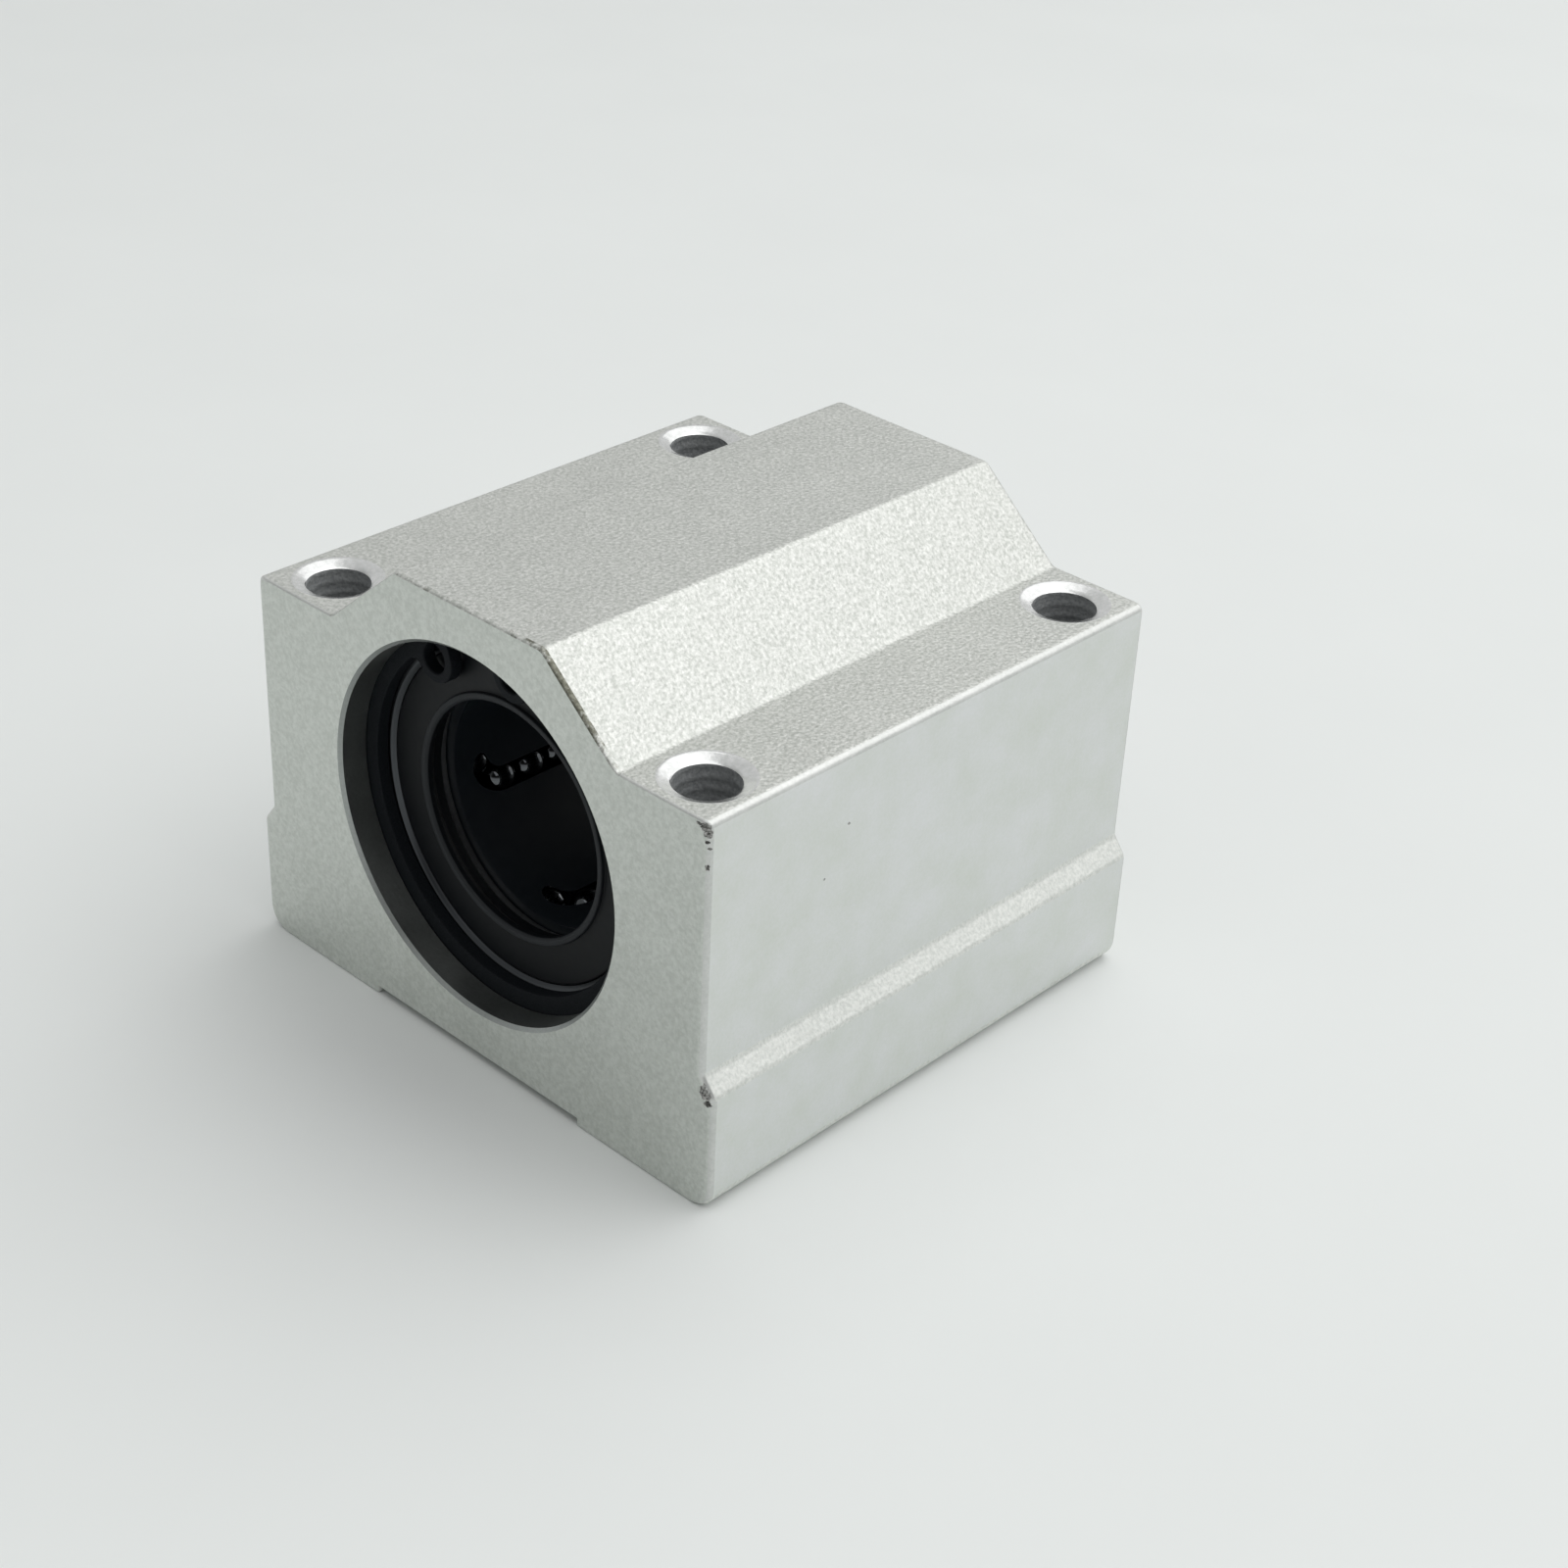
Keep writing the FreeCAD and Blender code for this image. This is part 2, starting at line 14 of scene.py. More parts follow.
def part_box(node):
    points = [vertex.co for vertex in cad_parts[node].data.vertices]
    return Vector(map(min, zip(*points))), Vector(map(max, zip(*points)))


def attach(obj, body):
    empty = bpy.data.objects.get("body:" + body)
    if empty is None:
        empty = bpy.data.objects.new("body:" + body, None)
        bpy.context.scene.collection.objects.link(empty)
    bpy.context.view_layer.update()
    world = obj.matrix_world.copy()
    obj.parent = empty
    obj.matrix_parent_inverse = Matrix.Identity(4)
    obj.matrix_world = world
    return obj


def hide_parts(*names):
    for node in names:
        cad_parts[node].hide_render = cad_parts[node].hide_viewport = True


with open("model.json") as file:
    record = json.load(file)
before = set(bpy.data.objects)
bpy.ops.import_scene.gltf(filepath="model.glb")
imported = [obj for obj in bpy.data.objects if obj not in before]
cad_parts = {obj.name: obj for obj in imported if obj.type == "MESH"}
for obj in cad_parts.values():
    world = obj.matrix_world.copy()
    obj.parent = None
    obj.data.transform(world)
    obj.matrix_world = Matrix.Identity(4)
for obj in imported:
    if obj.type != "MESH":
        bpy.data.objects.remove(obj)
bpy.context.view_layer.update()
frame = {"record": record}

# ---------------------------------------------------------------------------
# Housing: an aluminium extrusion, bead blasted and clear anodised, sawn to length,
# then bored for the bushing and drilled and tapped at the four corners of its flanges.
# ---------------------------------------------------------------------------

MM = 0.001
SMOOTH_ANGLE = math.radians(28)
mounts = {mount["name"]: mount for mount in frame["record"]["mounts"]}
housing_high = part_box("housing")[1]
sleeve_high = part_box("bearing_sleeve")[1]
SHAFT_Z = mounts["shaft_bore"]["pos_m"][2]
SHAFT_RADIUS = mounts["shaft_bore"]["dims"]["r_mm"] * MM
FLANGE_Z = mounts["flange_holes"]["pos_m"][2]
HOLE_X = mounts["flange_holes"]["dims"]["spacing_x_mm"] * MM / 2
HOLE_Y = mounts["flange_holes"]["dims"]["spacing_y_mm"] * MM / 2
HOLE_RADIUS = mounts["flange_holes"]["dims"]["hole_r_mm"] * MM
HALF_WIDTH = housing_high.x
HALF_LENGTH = housing_high.y
WAIST_INSET = 1.25 * MM
WAIST_X = HALF_WIDTH - WAIST_INSET
FLANGE_WIDTH = 9.5 * MM
HUMP_FOOT_X = WAIST_X - FLANGE_WIDTH
HUMP_TOP_X = 8.3 * MM
RECESS_X = 12.15 * MM
RECESS_DEPTH = 0.65 * MM
FOOT_CORNER = 2.2 * MM
FLANGE_EDGE = 0.75 * MM
FOOT_SIDE_Z = 10.7 * MM
SHOULDER_Z = 12.3 * MM
BORE_CLEARANCE = 0.02 * MM
BORE_RADIUS = sleeve_high.x + BORE_CLEARANCE
BORE_MOUTH = 0.3 * MM
BORE_SEGMENTS = 192
RING_GROOVE_RADIUS = 16.85 * MM
RING_GROOVE_WIDTH = 1.33 * MM
RING_GROOVE_INNER_Y = sleeve_high.y
RING_GROOVE_OUTER_Y = sleeve_high.y + RING_GROOVE_WIDTH


def rounded_section(corners):
    """Points of a closed section whose corners are (x, z, setback, steps), each turned by a curve."""
    points = []
    for index, (x, z, setback, steps) in enumerate(corners):
        corner = Vector((x, z))
        before = Vector(corners[index - 1][:2])
        after = Vector(corners[(index + 1) % len(corners)][:2])
        if steps == 0:
            points.append(corner)
            continue
        start = corner + (before - corner).normalized() * setback
        end = corner + (after - corner).normalized() * setback
        for step in range(steps + 1):
            t = step / steps
            points.append(start * (1 - t) ** 2 + corner * 2 * t * (1 - t) + end * t * t)
    return points


def drawn_in(points, depth):
    """The corners of a closed outline moved inwards by a depth all round."""
    result = []
    for index, point in enumerate(points):
        along = (point - points[index - 1]).normalized()
        onward = (points[(index + 1) % len(points)] - point).normalized()
        inward = Vector((-along.y, along.x))
        inward_next = Vector((-onward.y, onward.x))
        result.append(point + (inward + inward_next) * depth / (1 + inward.dot(inward_next)))
    return result


def mesh_object(name, vertices, faces):
    """A new object in the scene with a mesh of these vertices and faces."""
    mesh = bpy.data.meshes.new(name)
    mesh.from_pydata([tuple(v) for v in vertices], [], faces)
    mesh.validate()
    piece = bpy.data.objects.new(name, mesh)
    bpy.context.scene.collection.objects.link(piece)
    return piece


def skin(name, loops, closed=False):
    """A solid skinned through loops of points; its ends are capped, or joined where closed is true."""
    vertices = [point for loop in loops for point in loop]
    size = len(loops[0])
    faces = []
    spans = len(loops) if closed else len(loops) - 1
    for row in range(spans):
        this = row * size
        following = (row + 1) % len(loops) * size
        for column in range(size):
            beside = (column + 1) % size
            faces.append((this + column, this + beside, following + beside, following + column))
    if not closed:
        faces.append(tuple(reversed(range(size))))
        faces.append(tuple(range(len(vertices) - size, len(vertices))))
    piece = mesh_object(name, vertices, faces)
    form = bmesh.new()
    form.from_mesh(piece.data)
    bmesh.ops.recalc_face_normals(form, faces=form.faces)
    form.to_mesh(piece.data)
    form.free()
    return piece


def turned(name, profile, segments=160, closed=False, x=0.0, z=SHAFT_Z):
    """A solid of revolution from (y, radius) points about a line along Y, by default the shaft's."""
    loops = []
    for y, radius in profile:
        loop = []
        for index in range(segments):
            turn = 2 * math.pi * index / segments
            loop.append(Vector((x + radius * math.cos(turn), y, z + radius * math.sin(turn))))
        loops.append(loop)
    return skin(name, loops, closed)


def bake_modifiers(piece):
    """Make the modifiers' result the piece's own mesh."""
    depsgraph = bpy.context.evaluated_depsgraph_get()
    mesh = bpy.data.meshes.new_from_object(piece.evaluated_get(depsgraph))
    piece.modifiers.clear()
    piece.data = mesh


def cut_away(piece, cutters):
    """Machine the cutters' shapes out of a piece."""
    for cutter in cutters:
        step = piece.modifiers.new(cutter.name, "BOOLEAN")
        step.object = cutter
        step.operation = "DIFFERENCE"
        step.solver = "EXACT"
        step.material_mode = "TRANSFER"
    bake_modifiers(piece)
    for cutter in cutters:
        bpy.data.objects.remove(cutter)


def finish_shading(piece):
    """Crisp edges, smooth curves and flat faces that stay flat."""
    piece.data.shade_smooth()
    piece.data.set_sharp_from_angle(angle=SMOOTH_ANGLE)
    weighted = piece.modifiers.new("weighted normals", "WEIGHTED_NORMAL")
    weighted.keep_sharp = True
    bake_modifiers(piece)


def new_material(name):
    """A material with only its Principled shader and output."""
    material = bpy.data.materials.new(name)
    material.use_nodes = True
    tree = material.node_tree
    shader = tree.nodes["Principled BSDF"]
    return material, tree, shader


def feed(tree, socket, source):
    """Link a socket to an output, or set it to a value."""
    if isinstance(source, bpy.types.NodeSocket):
        tree.links.new(source, socket)
    else:
        socket.default_value = source


def add_node(tree, kind, settings=None, **inputs):
    """A node with its settings and input values or links; _ in an input's name stands for a space."""
    node = tree.nodes.new(kind)
    for name, setting in (settings or {}).items():
        setattr(node, name, setting)
    for name, source in inputs.items():
        feed(tree, node.inputs[name.replace("_", " ")], source)
    return node


def arithmetic(tree, operation, first, second=0.0):
    """The result of a sum on two values or links."""
    node = add_node(tree, "ShaderNodeMath", {"operation": operation})
    feed(tree, node.inputs[0], first)
    feed(tree, node.inputs[1], second)
    return node.outputs[0]


def blend_colours(tree, factor, first, second):
    """Two colours mixed by a factor; the Mix node has its colour sockets at 6, 7 and 2."""
    node = add_node(tree, "ShaderNodeMix", {"data_type": "RGBA"})
    feed(tree, node.inputs[0], factor)
    feed(tree, node.inputs[6], first)
    feed(tree, node.inputs[7], second)
    return node.outputs[2]


def new_group(name, inputs, outputs):
    """A shader node group with float inputs and float outputs, and the sockets inside it."""
    group = bpy.data.node_groups.new(name, "ShaderNodeTree")
    for label, default in inputs.items():
        socket = group.interface.new_socket(label, in_out="INPUT", socket_type="NodeSocketFloat")
        socket.default_value = default
    for label in outputs:
        group.interface.new_socket(label, in_out="OUTPUT", socket_type="NodeSocketFloat")
    given = group.nodes.new("NodeGroupInput").outputs
    result = group.nodes.new("NodeGroupOutput").inputs
    return group, given, result


PIT_SHARE = 0.8
CLOUDS_IN_A_METRE = 220.0


def build_bead_grain():
    """Pits left by bead blasting: a height for bumps, their tone, and wider clouds left by handling."""
    group, given, result = new_group(
        "bead grain", {"Grain Size": 0.25 * MM}, ("Height", "Tone", "Clouds")
    )
    place = group.nodes.new("ShaderNodeTexCoord").outputs["Object"]
    scale = arithmetic(group, "DIVIDE", 1.0, given["Grain Size"])
    smooth = {"feature": "SMOOTH_F1"}
    pits = add_node(
        group, "ShaderNodeTexVoronoi", smooth, Vector=place, Scale=scale, Smoothness=0.6
    ).outputs["Distance"]
    fine = add_node(
        group, "ShaderNodeTexNoise", Vector=place, Scale=scale, Detail=3.0, Roughness=0.6
    ).outputs["Fac"]
    pit_height = arithmetic(group, "MULTIPLY", pits, PIT_SHARE)
    group.links.new(arithmetic(group, "ADD", pit_height, fine), result["Height"])
    tone = add_node(group, "ShaderNodeMapRange", Value=fine, From_Min=0.35, From_Max=0.65)
    group.links.new(tone.outputs["Result"], result["Tone"])
    cloud = add_node(
        group, "ShaderNodeTexNoise", Vector=place, Scale=CLOUDS_IN_A_METRE, Detail=5.0, Roughness=0.6
    ).outputs["Fac"]
    spread = add_node(group, "ShaderNodeMapRange", Value=cloud, From_Min=0.3, From_Max=0.7)
    group.links.new(spread.outputs["Result"], result["Clouds"])
    return group


bead_grain = build_bead_grain()


def use_grain(tree, grain_size):
    """The outputs of the bead grain, set to a size."""
    return add_node(tree, "ShaderNodeGroup", {"node_tree": bead_grain}, Grain_Size=grain_size).outputs


def link_bump(tree, shader, height, depth):
    """Give a shader bumps of a depth."""
    bump = add_node(tree, "ShaderNodeBump", Height=height, Strength=1.0, Distance=depth)
    tree.links.new(bump.outputs["Normal"], shader.inputs["Normal"])


ROUGHNESS_SPREAD = 0.08


def aluminium_finish(name, colours, roughness, grain_size, grain_depth, clouding, metallic=1.0):
    """Anodised aluminium: two colours mixed by the grain and, as clouding says, by wider clouds."""
    material, tree, shader = new_material(name)
    grain = use_grain(tree, grain_size)
    grain_part = arithmetic(tree, "MULTIPLY", grain["Tone"], 1 - clouding)
    cloud_part = arithmetic(tree, "MULTIPLY", grain["Clouds"], clouding)
    mixing = arithmetic(tree, "ADD", grain_part, cloud_part)
    tint = blend_colours(tree, mixing, (*colours[0], 1), (*colours[1], 1))
    tree.links.new(tint, shader.inputs["Base Color"])
    uneven = arithmetic(tree, "MULTIPLY", grain["Clouds"], ROUGHNESS_SPREAD)
    lowest = roughness - ROUGHNESS_SPREAD / 2
    tree.links.new(arithmetic(tree, "ADD", uneven, lowest), shader.inputs["Roughness"])
    shader.inputs["Metallic"].default_value = metallic
    link_bump(tree, shader, grain["Height"], grain_depth)
    return material


blasted_aluminium = aluminium_finish(
    "blasted aluminium",
    ((0.47, 0.485, 0.455), (0.70, 0.705, 0.68)),
    roughness=0.44,
    grain_size=0.32 * MM,
    grain_depth=0.045 * MM,
    clouding=0.12,
)
smooth_aluminium = aluminium_finish(
    "smooth anodised aluminium",
    ((0.685, 0.71, 0.67), (0.775, 0.785, 0.79)),
    roughness=0.42,
    grain_size=0.3 * MM,
    grain_depth=0.008 * MM,
    clouding=0.75,
)
sawn_aluminium = aluminium_finish(
    "sawn aluminium",
    ((0.555, 0.58, 0.545), (0.69, 0.715, 0.68)),
    roughness=0.46,
    grain_size=0.36 * MM,
    grain_depth=0.02 * MM,
    clouding=0.25,
)
countersunk_aluminium = aluminium_finish(
    "freshly cut aluminium",
    ((0.62, 0.63, 0.62), (0.76, 0.76, 0.76)),
    roughness=0.24,
    grain_size=0.5 * MM,
    grain_depth=0.01 * MM,
    clouding=0.3,
)
# Darker than the other aluminium: painted shade inside the bore.
shaded_bore_aluminium = aluminium_finish(
    "bored aluminium with painted shade",
    ((0.33, 0.35, 0.34), (0.40, 0.42, 0.41)),
    roughness=0.40,
    grain_size=0.3 * MM,
    grain_depth=0.01 * MM,
    clouding=0.5,
)
# Darker, duller and less metallic than the other aluminium: painted shade inside the tapped holes.
shaded_tapped_aluminium = aluminium_finish(
    "tapped aluminium with painted shade",
    ((0.22, 0.23, 0.235), (0.36, 0.37, 0.375)),
    roughness=0.8,
    grain_size=0.3 * MM,
    grain_depth=0.04 * MM,
    clouding=0.2,
    metallic=0.1,
)
bruised_aluminium = aluminium_finish(
    "bruised aluminium",
    ((0.24, 0.24, 0.23), (0.78, 0.78, 0.76)),
    roughness=0.6,
    grain_size=0.16 * MM,
    grain_depth=0.04 * MM,
    clouding=0.1,
)
# Lighter than the blasted faces: worn anodise on the edges, plus a painted highlight along them.
worn_highlit_aluminium = aluminium_finish(
    "worn edge aluminium with painted highlight",
    ((0.56, 0.575, 0.555), (0.72, 0.725, 0.71)),
    roughness=0.44,
    grain_size=0.3 * MM,
    grain_depth=0.014 * MM,
    clouding=0.6,
)
# The steps along the foot's sides get a lighter colour than the other blasted faces.
lighter_step_aluminium = aluminium_finish(
    "lighter step aluminium",
    ((0.63, 0.65, 0.62), (0.83, 0.84, 0.81)),
    roughness=0.44,
    grain_size=0.3 * MM,
    grain_depth=0.014 * MM,
    clouding=0.2,
)


# Where the painted shade along the hump's near edge is darkest, how far it reaches, and where it
# starts.
DARKEST_X = 10.5 * MM
DARK_REACH = 6 * MM
DARK_FROM_X = -0.3 * MM


def edge_shade_finish():
    """The blasted finish, with painted shade in a ragged dark line along the near edge of the hump's
    top and right slope.
    """
    material, tree, shader = new_material("edge-shaded aluminium")
    grain = use_grain(tree, 0.34 * MM)
    place = tree.nodes.new("ShaderNodeTexCoord").outputs["Object"]
    across = add_node(tree, "ShaderNodeSeparateXYZ", Vector=place).outputs["X"]
    distance = arithmetic(tree, "ABSOLUTE", arithmetic(tree, "SUBTRACT", across, DARKEST_X))
    share = add_node(
        tree, "ShaderNodeMapRange", Value=distance, From_Max=DARK_REACH, To_Min=0.74, To_Max=0.36
    ).outputs["Result"]
    blots = add_node(
        tree, "ShaderNodeTexNoise", Vector=place, Scale=1300.0, Detail=4.0, Roughness=0.65
    ).outputs["Fac"]
    ragged = arithmetic(tree, "SUBTRACT", share, blots)
    mask = add_node(tree, "ShaderNodeMapRange", Value=ragged, From_Min=-0.08, From_Max=0.12)
    clean = blend_colours(tree, grain["Tone"], (0.46, 0.475, 0.445, 1), (0.71, 0.715, 0.69, 1))
    dark = blend_colours(tree, grain["Tone"], (0.11, 0.11, 0.085, 1), (0.24, 0.24, 0.20, 1))
    tint = blend_colours(tree, mask.outputs["Result"], clean, dark)
    tree.links.new(tint, shader.inputs["Base Color"])
    shader.inputs["Metallic"].default_value = 1.0
    shader.inputs["Roughness"].default_value = 0.5
    link_bump(tree, shader, grain["Height"], 0.03 * MM)
    return material


edge_shaded_aluminium = edge_shade_finish()

# Corners of the outline's right half, from under the foot round to the top of the hump:
# x, z, setback of the curve from the corner, and its steps.
half_section = [
    (RECESS_X, RECESS_DEPTH, 0, 0),
    (RECESS_X, 0.0, 0.25 * MM, 3),
    (HALF_WIDTH, 0.0, FOOT_CORNER, 12),
    (HALF_WIDTH, FOOT_SIDE_Z, 0.3 * MM, 4),
    (WAIST_X, SHOULDER_Z, 0.35 * MM, 4),
    (WAIST_X, FLANGE_Z, FLANGE_EDGE, 5),
    (HUMP_FOOT_X, FLANGE_Z, 0.35 * MM, 4),
    (HUMP_TOP_X, housing_high.z, 0.3 * MM, 4),
]
section = half_section + [(-x, *rest) for x, *rest in reversed(half_section)]

END_EDGE_BREAK = 0.45 * MM
END_EDGE_STEPS = 6
TOP_EDGE_DEPTH = 0.2 * MM
SIDE_EDGE_DEPTH = 0.7 * MM
SIDES_FROM_X = HUMP_FOOT_X + MM


def housing_loop(share, y):
    """The housing's outline at a place along its length, drawn in by a share of its edges' depths."""
    corners = drawn_in([Vector(corner[:2]) for corner in section], share * TOP_EDGE_DEPTH)
    for corner in corners:
        if abs(corner.x) > SIDES_FROM_X:
            corner.x -= math.copysign(share * (SIDE_EDGE_DEPTH - TOP_EDGE_DEPTH), corner.x)
    dressed = [(p.x, p.y, *corner[2:]) for p, corner in zip(corners, section)]
    return [Vector((p.x, y, p.y)) for p in rounded_section(dressed)]


# Each station: the share of the edges' depths to draw in, and its distance from the middle.
stations = []
for step in range(END_EDGE_STEPS + 1):
    angle = math.radians(90 * step / END_EDGE_STEPS)
    stations.append((1 - math.sin(angle), HALF_LENGTH - END_EDGE_BREAK * (1 - math.cos(angle))))
loops = [housing_loop(share, -y) for share, y in stations]
loops += [housing_loop(share, y) for share, y in reversed(stations)]
housing = skin("machined_housing", loops)
SMOOTH, SAWN, EDGE_SHADE, WORN_HIGHLIT, LIGHTER_STEP = range(1, 6)
finishes = (
    blasted_aluminium,
    smooth_aluminium,
    sawn_aluminium,
    edge_shaded_aluminium,
    worn_highlit_aluminium,
    lighter_step_aluminium,
)
for finish in finishes:
    housing.data.materials.append(finish)
for face in housing.data.polygons:
    # The limits are parts of a face's normal. A face that no case takes keeps the first
    # finish, the blasted one.
    across, along, upward = face.normal
    on_hump = DARK_FROM_X < face.center.x < HUMP_FOOT_X and face.center.z > FLANGE_Z + 0.1 * MM
    near_edge = along > -0.97 and face.center.y < END_EDGE_BREAK - HALF_LENGTH
    at_side = abs(face.center.x) > SIDES_FROM_X
    below_shoulder = face.center.z < SHOULDER_Z + MM
    long_edge = 0.2 < abs(across) < 0.97 and upward > 0.2 and face.center.z > SHOULDER_Z + MM
    end_edge = 0.2 < abs(along) < 0.95 and upward > -0.3
    # The near edge of the hump gets painted shade.
    if on_hump and near_edge:
        face.material_index = EDGE_SHADE
    # Side edges: worn, and lighter as a painted highlight.
    elif at_side and (long_edge or end_edge):
        face.material_index = WORN_HIGHLIT
    elif abs(along) > 0.9 or upward < -0.9:
        face.material_index = SAWN
    elif abs(across) > 0.98:
        face.material_index = SMOOTH
    # The steps along the foot's sides get the lighter colour.
    elif at_side and below_shoulder:
        face.material_index = LIGHTER_STEP

bore_half = [
    (HALF_LENGTH + BORE_MOUTH, BORE_RADIUS + 2 * BORE_MOUTH),
    (HALF_LENGTH - BORE_MOUTH, BORE_RADIUS),
    (RING_GROOVE_OUTER_Y, BORE_RADIUS),
    (RING_GROOVE_OUTER_Y, RING_GROOVE_RADIUS),
    (RING_GROOVE_INNER_Y, RING_GROOVE_RADIUS),
    (RING_GROOVE_INNER_Y, BORE_RADIUS),
]
bore_profile = bore_half + [(-y, radius) for y, radius in reversed(bore_half)]
bore_cutter = turned("bore_cutter", bore_profile, segments=BORE_SEGMENTS)
bore_cutter.data.materials.append(shaded_bore_aluminium)

THREAD_PITCH = 1.0 * MM
THREAD_DEPTH = 0.05 * MM
THREAD_LENGTH = 12 * MM
THREAD_COLUMNS = 48
THREAD_STEPS = 10
HOLE_MOUTH_RADIUS = 3.75 * MM
HOLE_MOUTH_DEPTH = 0.45 * MM


def tapped_hole_cutter(name, x, y):
    """The space inside a tapped hole: a helical thread below a shallow flared mouth."""
    loops = []
    top = FLANGE_Z + 0.2 * MM
    rows = int((THREAD_LENGTH + 1.5 * MM) / THREAD_PITCH * THREAD_STEPS)
    heights = [top - row * THREAD_PITCH / THREAD_STEPS for row in range(rows)]
    heights += [FLANGE_Z - THREAD_LENGTH - 2 * MM, -1 * MM]
    for z in heights:
        depth = FLANGE_Z - z
        fade = max(0.0, min(1.0, (THREAD_LENGTH - depth) / THREAD_PITCH))
        flare = HOLE_MOUTH_RADIUS - (HOLE_MOUTH_RADIUS - HOLE_RADIUS) * depth / HOLE_MOUTH_DEPTH
        loop = []
        for column in range(THREAD_COLUMNS):
            turn = column / THREAD_COLUMNS
            # The ridge has a flat crest and a flat root with straight flanks between them.
            wave = (z / THREAD_PITCH + turn) % 1.0
            ridge = min(1.0, max(0.0, 1.6 - abs(wave - 0.5) * 4))
            radius = max(HOLE_RADIUS + THREAD_DEPTH * ridge * fade, flare)
            angle = 2 * math.pi * turn
            loop.append(Vector((x + radius * math.cos(angle), y + radius * math.sin(angle), z)))
        loops.append(loop)
    cutter = skin(name, loops)
    cutter.data.materials.append(shaded_tapped_aluminium)
    cutter.data.materials.append(countersunk_aluminium)
    for face in cutter.data.polygons:
        if face.center.z > FLANGE_Z - HOLE_MOUTH_DEPTH * 1.01:
            face.material_index = 1
    return cutter


hole_cutters = []
for side in (-1, 1):
    for end in (-1, 1):
        name = f"hole_cutter_{side}_{end}"
        hole_cutters.append(tapped_hole_cutter(name, side * HOLE_X, end * HOLE_Y))


def chip_cutter(number, centre, size):
    """A small jagged hollow, as a knock leaves in a corner or an edge."""
    form = bmesh.new()
    bmesh.ops.create_icosphere(form, subdivisions=3, radius=1.0)
    for vertex in form.verts:
        rough = 1 + 0.6 * noise.noise(vertex.co * 2.4 + Vector((number * 7.3, 0, 0)))
        vertex.co = Vector(centre) + Vector([rough * a * b * MM for a, b in zip(vertex.co, size)])
    cutter = mesh_object(f"chip_cutter_{number}", [], [])
    form.to_mesh(cutter.data)
    form.free()
    cutter.data.materials.append(bruised_aluminium)
    return cutter


near = -HALF_LENGTH
# Each chip: the middle of its hollow, and its half sizes in millimetres.
chips = [
    ((WAIST_X - 0.45 * MM, near + 0.05 * MM, FLANGE_Z - 0.50 * MM), (0.50, 0.32, 0.36)),
    ((WAIST_X - 0.22 * MM, near + 0.10 * MM, FLANGE_Z - 0.95 * MM), (0.38, 0.30, 0.40)),
    ((WAIST_X - 1.00 * MM, near + 0.05 * MM, FLANGE_Z - 0.35 * MM), (0.34, 0.20, 0.15)),
    ((WAIST_X - 0.30 * MM, near + 0.10 * MM, FLANGE_Z - 1.62 * MM), (0.20, 0.30, 0.15)),
    ((WAIST_X - 0.12 * MM, near + 0.10 * MM, FLANGE_Z - 2.15 * MM), (0.18, 0.26, 0.12)),
    ((WAIST_X - 0.22 * MM, near + 0.05 * MM, FLANGE_Z - 3.70 * MM), (0.18, 0.32, 0.26)),
    ((WAIST_X + 0.30 * MM, near + 0.05 * MM, SHOULDER_Z - 1.30 * MM), (0.55, 0.26, 0.60)),
    ((WAIST_X + 0.68 * MM, near + 0.14 * MM, FOOT_SIDE_Z - 0.55 * MM), (0.36, 0.44, 0.30)),
    ((WAIST_X, -10.2 * MM, FLANGE_Z - 6.1 * MM), (0.05, 0.14, 0.12)),
    ((WAIST_X, -12.6 * MM, FLANGE_Z - 10.0 * MM), (0.05, 0.12, 0.10)),
]
chip_cutters = [chip_cutter(number, centre, size) for number, (centre, size) in enumerate(chips)]
cut_away(housing, [bore_cutter] + hole_cutters + chip_cutters)
finish_shading(housing)
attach(housing, "root")
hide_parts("housing")

# ---------------------------------------------------------------------------
# Retaining rings: internal circlips stamped from spring steel and phosphated black.
# Each snaps into its groove in the bore and holds one end of the bushing.
# ---------------------------------------------------------------------------

RING_RADIUS = 16.82 * MM
RING_HOLE_RADIUS = 14.62 * MM
RING_HOLE_OFFSET = 0.2 * MM
LUG_RADIUS = 2.1 * MM
LUG_CENTRE_RADIUS = 14.0 * MM
LUG_ANGLE = math.radians(19)
LUG_BLEND = 0.8 * MM
EYE_RADIUS = 1.25 * MM
EYE_BREAK = 0.1 * MM
EYE_FLARE = 1.16
# How far in the ring's outline lies, in millimetres, and at what share of half its thickness.
STAMPED_EDGE = ((0.15, -1.0), (0.05, -0.93), (0.0, -0.75), (0.0, 0.75), (0.05, 0.93), (0.15, 1.0))
RING_TURNS = {"front": math.radians(-12), "rear": math.radians(9)}


def from_top(angle):
    """A direction in the plane of X and Z, its angle measured from +Z towards +X."""
    return Vector((math.sin(angle), math.cos(angle)))


def arc(centre, radius, start, end, steps):
    """Points along an arc whose angles are measured like those of from_top."""
    angles = [start + (end - start) * step / steps for step in range(steps + 1)]
    return [centre + radius * from_top(angle) for angle in angles]


def angle_of(direction):
    """The angle, measured like that of from_top, of a direction."""
    return math.atan2(direction.x, direction.y)


